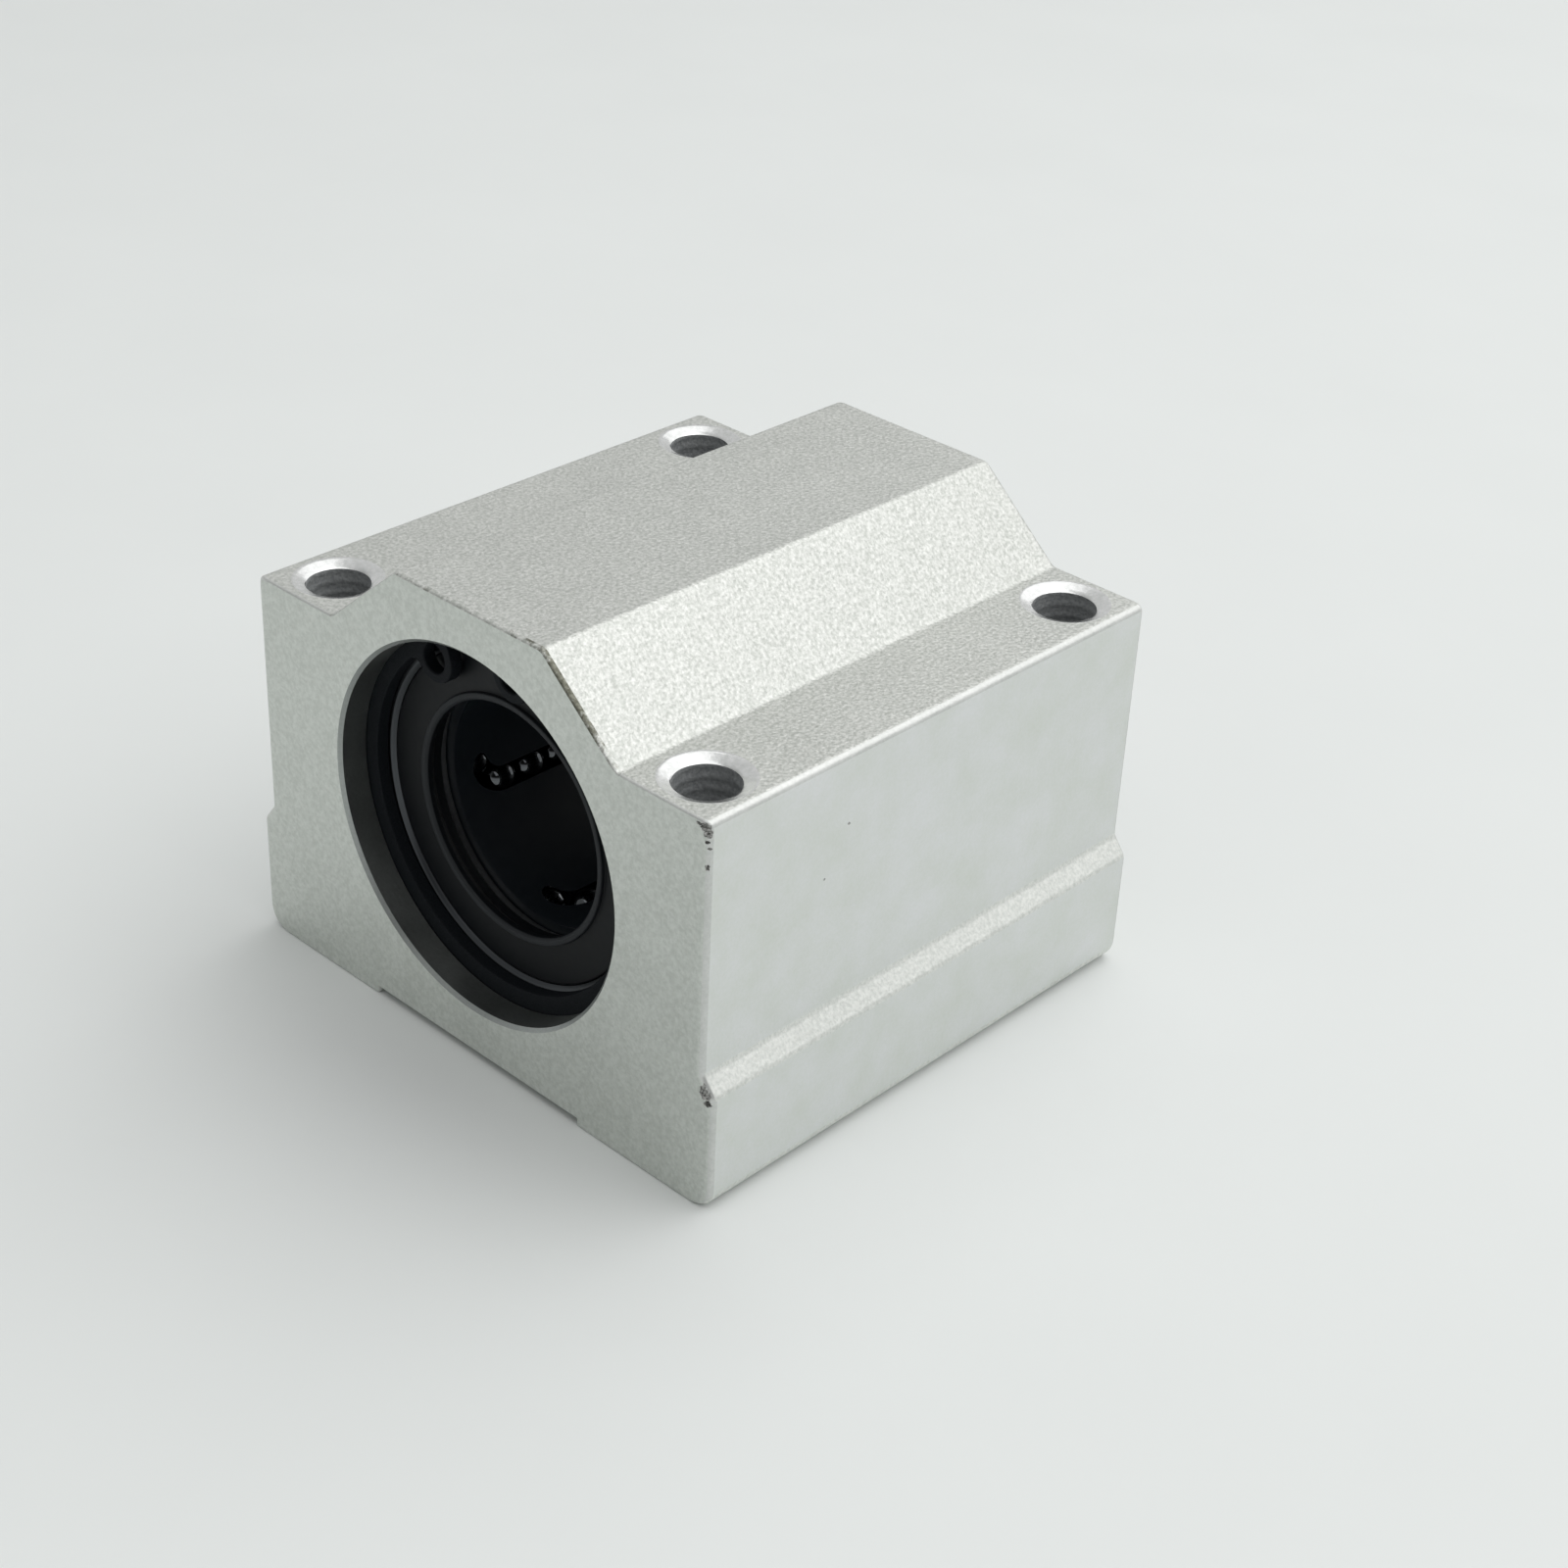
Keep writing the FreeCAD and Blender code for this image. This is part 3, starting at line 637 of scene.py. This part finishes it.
def ring_outline(turn):
    """A circlip's outline, its gap turned from the top."""
    lug = LUG_CENTRE_RADIUS * from_top(LUG_ANGLE)
    hole = Vector((0, RING_HOLE_OFFSET))
    gap = LUG_ANGLE - math.asin(LUG_RADIUS / LUG_CENTRE_RADIUS)
    to_lug = lug - hole
    reach = RING_HOLE_RADIUS - LUG_BLEND
    spread = LUG_RADIUS + LUG_BLEND
    cosine = (to_lug.length_squared + reach**2 - spread**2) / (2 * to_lug.length * reach)
    blend = hole + reach * from_top(angle_of(to_lug) + math.acos(cosine))
    blend_start = angle_of(blend - hole)
    blend_end = angle_of(lug - blend)
    half = arc(hole, RING_HOLE_RADIUS, math.pi, blend_start, steps=72)
    half += arc(blend, LUG_BLEND, blend_start, blend_end, steps=10)[1:]
    half += arc(lug, LUG_RADIUS, blend_end + math.pi, gap + 1.5 * math.pi, steps=28)[1:]
    half += arc(Vector((0, 0)), RING_RADIUS, gap, math.pi, steps=84)
    outline = half + [Vector((-p.x, p.y)) for p in reversed(half)][1:-1]
    spin = Matrix.Rotation(-turn, 2)
    return [spin @ p for p in reversed(outline)]


phosphated, tree, shader = new_material("phosphated spring steel")
grain = use_grain(tree, 0.12 * MM)
tint = blend_colours(tree, grain["Tone"], (0.005, 0.0065, 0.008, 1), (0.012, 0.014, 0.017, 1))
tree.links.new(tint, shader.inputs["Base Color"])
shader.inputs["Roughness"].default_value = 0.62
shader.inputs["Specular IOR Level"].default_value = 0.1
link_bump(tree, shader, grain["Height"], 0.006 * MM)

for end in ("front", "rear"):
    ring_low, ring_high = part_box(f"retaining_ring_{end}")
    outline = ring_outline(RING_TURNS[end])
    middle = (ring_low.y + ring_high.y) / 2
    half_thickness = (ring_high.y - ring_low.y) / 2
    loops = []
    for depth, offset in STAMPED_EDGE:
        y = middle + offset * half_thickness
        loops.append([Vector((p.x, y, SHAFT_Z + p.y)) for p in drawn_in(outline, depth * MM)])
    ring = skin(f"snap_ring_{end}", loops)
    ring.data.materials.append(phosphated)
    eyes = []
    for way in (-1, 1):
        eye = LUG_CENTRE_RADIUS * from_top(way * LUG_ANGLE + RING_TURNS[end])
        profile = [
            (ring_low.y - EYE_BREAK, EYE_FLARE * EYE_RADIUS),
            (ring_low.y + EYE_BREAK, EYE_RADIUS),
            (ring_high.y - EYE_BREAK, EYE_RADIUS),
            (ring_high.y + EYE_BREAK, EYE_FLARE * EYE_RADIUS),
        ]
        cutter = turned(f"eye_cutter_{end}_{way}", profile, segments=48, x=eye.x, z=SHAFT_Z + eye.y)
        cutter.data.materials.append(phosphated)
        eyes.append(cutter)
    cut_away(ring, eyes)
    finish_shading(ring)
    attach(ring, "root")
    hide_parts(f"retaining_ring_{end}")

# ---------------------------------------------------------------------------
# Bearing sleeve: a hardened and ground steel ring that the balls run in. Turned snap
# grooves run round its outside, and five grooves inside let the returning balls pass.
# ---------------------------------------------------------------------------

BALL_RADIUS = 3.175 * MM / 2
BALL_PITCH = 3.205 * MM
BALLS_IN_ROW = 9
CIRCUITS = 5
CIRCUIT_TURN = math.radians(34)
BALL_LEVEL = SHAFT_RADIUS + BALL_RADIUS
TURN_RADIUS = BALL_PITCH / math.sqrt(2)
ROW_SPACING = 2 * TURN_RADIUS
ROW_HALF = BALL_PITCH * (BALLS_IN_ROW - 1) / 2
TRACK_RADIUS = BALL_RADIUS + 0.06 * MM
RACE_RADIUS = BALL_LEVEL + BALL_RADIUS + 0.01 * MM
RETURN_RADIUS = TRACK_RADIUS - 0.01 * MM
RETURN_HALF = 14 * MM
SLEEVE_RADIUS = sleeve_high.x
SLEEVE_HALF = sleeve_high.y
SLEEVE_CHAMFER = 0.6 * MM
SNAP_GROOVE_RADIUS = 15.25 * MM
SNAP_GROOVE_INNER_Y = 13.65 * MM
SNAP_GROOVE_OUTER_Y = 15.25 * MM
SEAL_SEAT_RADIUS = 14.15 * MM
SEAL_MOUTH_DEPTH = 0.35 * MM
SEAL_MOUTH_RADIUS = 14.5 * MM
RELIEF_RADIUS = 14.09 * MM
SHELF_Y = 17.9 * MM


def in_circuit(number, x, y, z=BALL_LEVEL):
    """A point of a ball circuit, from the circuit's own frame, where its loaded row lies at x = 0."""
    turn = CIRCUIT_TURN + number * 2 * math.pi / CIRCUITS
    across = x * math.cos(turn) + z * math.sin(turn)
    upward = z * math.cos(turn) - x * math.sin(turn)
    return Vector((across, y, SHAFT_Z + upward))


def soften_edges(piece, width):
    """Break a turned piece's sharp edges."""
    bevel = piece.modifiers.new("bevel", "BEVEL")
    bevel.width = width
    bevel.segments = 2
    bevel.limit_method = "ANGLE"
    bevel.angle_limit = math.radians(30)
    bake_modifiers(piece)


ground_steel, tree, shader = new_material("ground bearing steel")
place = tree.nodes.new("ShaderNodeTexCoord").outputs["Object"]
along = add_node(tree, "ShaderNodeSeparateXYZ", Vector=place).outputs["Y"]
rings = {"noise_dimensions": "1D"}
streaks = add_node(tree, "ShaderNodeTexNoise", rings, W=along, Scale=9000.0, Detail=3.0).outputs["Fac"]
tint = blend_colours(tree, streaks, (0.052, 0.056, 0.061, 1), (0.085, 0.09, 0.096, 1))
tree.links.new(tint, shader.inputs["Base Color"])
uneven = arithmetic(tree, "MULTIPLY", streaks, 0.12)
tree.links.new(arithmetic(tree, "ADD", uneven, 0.28), shader.inputs["Roughness"])
shader.inputs["Metallic"].default_value = 1.0

sleeve_half = [
    (SNAP_GROOVE_INNER_Y, SLEEVE_RADIUS),
    (SNAP_GROOVE_INNER_Y, SNAP_GROOVE_RADIUS),
    (SNAP_GROOVE_OUTER_Y, SNAP_GROOVE_RADIUS),
    (SNAP_GROOVE_OUTER_Y, SLEEVE_RADIUS),
    (SLEEVE_HALF - SLEEVE_CHAMFER, SLEEVE_RADIUS),
    (SLEEVE_HALF, SLEEVE_RADIUS - SLEEVE_CHAMFER),
    (SLEEVE_HALF, SEAL_MOUTH_RADIUS),
    (SLEEVE_HALF - SEAL_MOUTH_DEPTH, SEAL_SEAT_RADIUS),
    (SHELF_Y, SEAL_SEAT_RADIUS),
    (SHELF_Y, RELIEF_RADIUS),
    (ROW_HALF, RELIEF_RADIUS),
    (ROW_HALF, RACE_RADIUS),
]
profile = sleeve_half + [(-y, radius) for y, radius in reversed(sleeve_half)]
sleeve = turned("ground_sleeve", profile, segments=BORE_SEGMENTS, closed=True)
soften_edges(sleeve, 0.05 * MM)
sleeve.data.materials.append(ground_steel)
return_cutters = []
for number in range(CIRCUITS):
    centre = in_circuit(number, ROW_SPACING, 0)
    groove = [(-RETURN_HALF, RETURN_RADIUS), (RETURN_HALF, RETURN_RADIUS)]
    cutter = turned(f"return_cutter_{number}", groove, segments=48, x=centre.x, z=centre.z)
    cutter.data.materials.append(ground_steel)
    return_cutters.append(cutter)
cut_away(sleeve, return_cutters)
finish_shading(sleeve)
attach(sleeve, "root")
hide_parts("bearing_sleeve")

# ---------------------------------------------------------------------------
# Ball cage: black moulded resin with five oblong tracks. Each track opens as a slot
# to the shaft along its loaded row and guides the balls round and back.
# ---------------------------------------------------------------------------


def mottled_finish(name, colours, pattern, roughness, spread):
    """A material whose colour and roughness follow a noise; its spread is the roughness's range."""
    material, tree, shader = new_material(name)
    place = tree.nodes.new("ShaderNodeTexCoord").outputs["Object"]
    mottle = add_node(tree, "ShaderNodeTexNoise", Vector=place, **pattern).outputs["Fac"]
    tint = blend_colours(tree, mottle, (*colours[0], 1), (*colours[1], 1))
    tree.links.new(tint, shader.inputs["Base Color"])
    if spread:
        uneven = arithmetic(tree, "MULTIPLY", mottle, spread)
        tree.links.new(arithmetic(tree, "ADD", uneven, roughness), shader.inputs["Roughness"])
    else:
        shader.inputs["Roughness"].default_value = roughness
    return material, shader


cage_resin, shader = mottled_finish(
    "black cage resin",
    ((0.008, 0.011, 0.015), (0.012, 0.016, 0.020)),
    {"Scale": 900.0, "Detail": 3.0},
    roughness=0.33,
    spread=0.15,
)

CAGE_HALF = 17.8 * MM
CAGE_INNER = SHAFT_RADIUS + 0.35 * MM
CAGE_OUTER = 13.035 * MM
TURN_STEPS = 24
TRACK_SEGMENTS = 32
profile = [
    (-CAGE_HALF, CAGE_INNER),
    (-CAGE_HALF, CAGE_OUTER),
    (CAGE_HALF, CAGE_OUTER),
    (CAGE_HALF, CAGE_INNER),
]
cage = turned("moulded_cage", profile, segments=BORE_SEGMENTS, closed=True)
soften_edges(cage, 0.12 * MM)
cage.data.materials.append(cage_resin)
route = []
for end in (1, -1):
    centre = Vector((ROW_SPACING / 2, end * ROW_HALF))
    for step in range(TURN_STEPS + 1):
        angle = math.pi * step / TURN_STEPS
        outward = Vector((-end * math.cos(angle), end * math.sin(angle)))
        route.append((centre + outward * TURN_RADIUS, outward))
track_cutters = []
for number in range(CIRCUITS):
    loops = []
    for point, outward in route:
        loop = []
        for index in range(TRACK_SEGMENTS):
            angle = 2 * math.pi * index / TRACK_SEGMENTS
            place_in_plane = point + outward * TRACK_RADIUS * math.cos(angle)
            level = BALL_LEVEL + TRACK_RADIUS * math.sin(angle)
            loop.append(in_circuit(number, place_in_plane.x, place_in_plane.y, level))
        loops.append(loop)
    cutter = skin(f"track_cutter_{number}", loops, closed=True)
    cutter.data.materials.append(cage_resin)
    track_cutters.append(cutter)
cut_away(cage, track_cutters)
finish_shading(cage)
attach(cage, "root")
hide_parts("ball_cage")

# ---------------------------------------------------------------------------
# Ball circuits: polished chrome steel balls, nine in the loaded row, nine on their
# way back and one in each turn, running loose in the cage's tracks.
# ---------------------------------------------------------------------------

# Far darker than chrome steel: painted shade on the balls deep inside the bushing.
shaded_ball_steel, shader = mottled_finish(
    "polished ball steel with painted shade",
    ((0.075, 0.08, 0.085), (0.125, 0.132, 0.14)),
    {"Scale": 700.0, "Detail": 3.0},
    roughness=0.03,
    spread=0.06,
)
shader.inputs["Metallic"].default_value = 1.0

for number in range(CIRCUITS):
    places = []
    for step in range(BALLS_IN_ROW):
        y = step * BALL_PITCH - ROW_HALF
        places += [(0.0, y), (ROW_SPACING, y)]
    for end in (1, -1):
        places.append((ROW_SPACING / 2, end * (ROW_HALF + TURN_RADIUS)))
    form = bmesh.new()
    for x, y in places:
        spot = Matrix.Translation(in_circuit(number, x, y))
        bmesh.ops.create_icosphere(form, subdivisions=3, radius=BALL_RADIUS, matrix=spot)
    balls = mesh_object(f"ball_train_{number + 1}", [], [])
    form.to_mesh(balls.data)
    form.free()
    balls.data.shade_smooth()
    balls.data.materials.append(shaded_ball_steel)
    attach(balls, "root")
    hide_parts(f"ball_circuit_{number + 1}")

# ---------------------------------------------------------------------------
# End rings: plain steel washers, stamped and deburred. One is pressed into each end of
# the sleeve, where it keeps the cage in place behind the seal.
# ---------------------------------------------------------------------------

WASHER_HOLE_RADIUS = 11.2 * MM
ring_steel, shader = mottled_finish(
    "plain ring steel",
    ((0.32, 0.33, 0.34), (0.48, 0.49, 0.50)),
    {"Scale": 1100.0, "Detail": 4.0},
    roughness=0.28,
    spread=0.2,
)
shader.inputs["Metallic"].default_value = 1.0

for end in ("front", "rear"):
    low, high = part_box(f"end_ring_{end}")
    profile = [
        (low.y, WASHER_HOLE_RADIUS),
        (low.y, high.x),
        (high.y, high.x),
        (high.y, WASHER_HOLE_RADIUS),
    ]
    washer = turned(f"stop_washer_{end}", profile, closed=True)
    soften_edges(washer, 0.08 * MM)
    washer.data.materials.append(ring_steel)
    finish_shading(washer)
    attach(washer, "root")
    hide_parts(f"end_ring_{end}")

# ---------------------------------------------------------------------------
# Seals: black nitrile rings pressed into the sleeve's ends, each with a raised lip
# that wipes the shaft.
# ---------------------------------------------------------------------------

seal_rubber, shader = mottled_finish(
    "black seal rubber",
    ((0.003, 0.004, 0.005), (0.007, 0.008, 0.010)),
    {"Scale": 1400.0, "Detail": 4.0},
    roughness=0.38,
    spread=0.2,
)
shader.inputs["Specular IOR Level"].default_value = 0.2
# Lighter than the rest of the seal: a painted sheen on the lip that wipes the shaft.
lip_sheen_rubber, shader = mottled_finish(
    "lip rubber with painted sheen",
    ((0.006, 0.008, 0.010), (0.018, 0.021, 0.025)),
    {"Scale": 500.0, "Detail": 5.0, "Roughness": 0.65},
    roughness=0.6,
    spread=0.0,
)
shader.inputs["Specular IOR Level"].default_value = 0.35

SEAL_THICKNESS = 2.15 * MM
SEAL_RIM_DEPTH = 0.35 * MM
LIP_RADIUS = 10.65 * MM
SHEEN_RADIUS = 10.8 * MM
SHEEN_DEPTH = 0.3 * MM
for end, side in (("front", -1), ("rear", 1)):
    low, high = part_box(f"seal_{end}")
    lip = max(abs(low.y), abs(high.y))
    # The section's corners, from its inner back edge: y, radius, setback of the curve, its steps.
    corners = [
        (lip - SEAL_THICKNESS, 10.6 * MM, 0.08 * MM, 2),
        (lip - 1.3 * MM, 10.6 * MM, 0.1 * MM, 3),
        (lip - 0.7 * MM, SHAFT_RADIUS, 0.1 * MM, 3),
        (lip - 0.2 * MM, SHAFT_RADIUS, 0.06 * MM, 3),
        (lip, 10.2 * MM, 0.08 * MM, 3),
        (lip, LIP_RADIUS, 0.16 * MM, 5),
        (lip - SEAL_RIM_DEPTH, LIP_RADIUS, 0.12 * MM, 4),
        (lip - SEAL_RIM_DEPTH, high.x, 0.2 * MM, 4),
        (lip - SEAL_THICKNESS, high.x, 0.1 * MM, 2),
    ]
    profile = [(side * p.x, p.y) for p in rounded_section(corners)]
    seal = turned(f"wiper_seal_{end}", profile, segments=BORE_SEGMENTS, closed=True)
    seal.data.materials.append(seal_rubber)
    seal.data.materials.append(lip_sheen_rubber)
    # Faces of the lip nearest the shaft take the painted sheen.
    for face in seal.data.polygons:
        beside_shaft = math.hypot(face.center.x, face.center.z - SHAFT_Z) < SHEEN_RADIUS
        if beside_shaft and abs(face.center.y) > lip - SHEEN_DEPTH:
            face.material_index = 1
    finish_shading(seal)
    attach(seal, "root")
    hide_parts(f"seal_{end}")

# ---------------------------------------------------------------------------
# Floor: a plain sheet of pale, faintly uneven paper that the block stands on. It isn't
# part of the object.
# ---------------------------------------------------------------------------

FLOOR_SIZE = 3.0
floor = mesh_object(
    "floor",
    [(x * FLOOR_SIZE, y * FLOOR_SIZE, 0) for x, y in ((-1, -1), (1, -1), (1, 1), (-1, 1))],
    [(0, 1, 2, 3)],
)
paper, shader = mottled_finish(
    "pale paper",
    ((0.785, 0.805, 0.795), (0.82, 0.84, 0.83)),
    {"Scale": 30.0, "Detail": 5.0},
    roughness=0.9,
    spread=0.0,
)
shader.inputs["Specular IOR Level"].default_value = 0.1
floor.data.materials.append(paper)

# ---------------------------------------------------------------------------
# Light: two wide soft panels overhead, one of them further back, and a pale surround that
# is darker towards the viewer and towards the near left, and even along the horizon.
# ---------------------------------------------------------------------------

PANEL_DISTANCE = 0.7
PANEL_SIZE = 0.9


def soft_panel(name, direction, power):
    """A square lamp that faces the block's middle from a direction."""
    lamp = bpy.data.lights.new(name, "AREA")
    lamp.shape = "SQUARE"
    lamp.size = PANEL_SIZE
    lamp.energy = power
    holder = bpy.data.objects.new(name, lamp)
    toward = Vector(direction).normalized()
    holder.location = Vector((0, 0, SHAFT_Z)) + toward * PANEL_DISTANCE
    holder.rotation_euler = toward.to_track_quat("Z", "Y").to_euler()
    bpy.context.scene.collection.objects.link(holder)


soft_panel("rear panel", (0.15, 0.62, 0.77), 1.85)
soft_panel("overhead panel", (0.42, -0.10, 0.90), 1.98)
world = bpy.data.worlds.new("studio")
world.use_nodes = True
tree = world.node_tree
surround = tree.nodes["Background"]
heading = tree.nodes.new("ShaderNodeTexCoord").outputs["Generated"]
height = add_node(tree, "ShaderNodeSeparateXYZ", Vector=heading).outputs["Z"]
SOFT = {"interpolation_type": "SMOOTHSTEP"}
raised = add_node(tree, "ShaderNodeMapRange", SOFT, Value=height, From_Min=0.08, From_Max=0.36)
PALE = (0.95, 0.96, 0.955, 1)
# Each darker part: its middle, how near to that it begins and how near it is full, and its colour.
darker_parts = (
    ((0.565, -0.615, 0.55), 0.70, 0.92, (0.03, 0.03, 0.03, 1)),
    ((-0.55, -0.70, 0.45), 0.55, 0.95, (0.50, 0.51, 0.505, 1)),
)
tint = PALE
for direction, edge, core, dark in darker_parts:
    product = add_node(tree, "ShaderNodeVectorMath", {"operation": "DOT_PRODUCT"})
    feed(tree, product.inputs[0], heading)
    feed(tree, product.inputs[1], direction)
    nearness = product.outputs["Value"]
    shade = add_node(tree, "ShaderNodeMapRange", SOFT, Value=nearness, From_Min=edge, From_Max=core)
    mask = arithmetic(tree, "MULTIPLY", shade.outputs["Result"], raised.outputs["Result"])
    tint = blend_colours(tree, mask, tint, dark)
tree.links.new(tint, surround.inputs["Color"])
surround.inputs["Strength"].default_value = 0.755
bpy.context.scene.world = world

# ---------------------------------------------------------------------------
# Camera: looks down on the near right corner of the block, a little rolled.
# ---------------------------------------------------------------------------

camera_data = bpy.data.cameras.new("camera")
camera_data.sensor_width = 36.0
camera_data.lens = 62.12
camera_data.clip_start = 0.01
camera = bpy.data.objects.new("camera", camera_data)
azimuth = math.radians(42.18)
elevation = math.radians(31.0)
roll = math.radians(2.85)
ahead = Vector((
    -math.sin(azimuth) * math.cos(elevation),
    math.cos(azimuth) * math.cos(elevation),
    -math.sin(elevation),
))
level_right = ahead.cross(Vector((0, 0, 1))).normalized()
level_up = level_right.cross(ahead)
right = level_right * math.cos(roll) + level_up * math.sin(roll)
up = right.cross(ahead)
facing = Matrix((right, up, -ahead)).transposed().to_4x4()
stand = Vector((0.1365, -0.1398, 0.1336))
camera.matrix_world = Matrix.Translation(stand) @ facing
bpy.context.scene.collection.objects.link(camera)
bpy.context.scene.camera = camera

bpy.context.scene.view_settings.view_transform = "Standard"
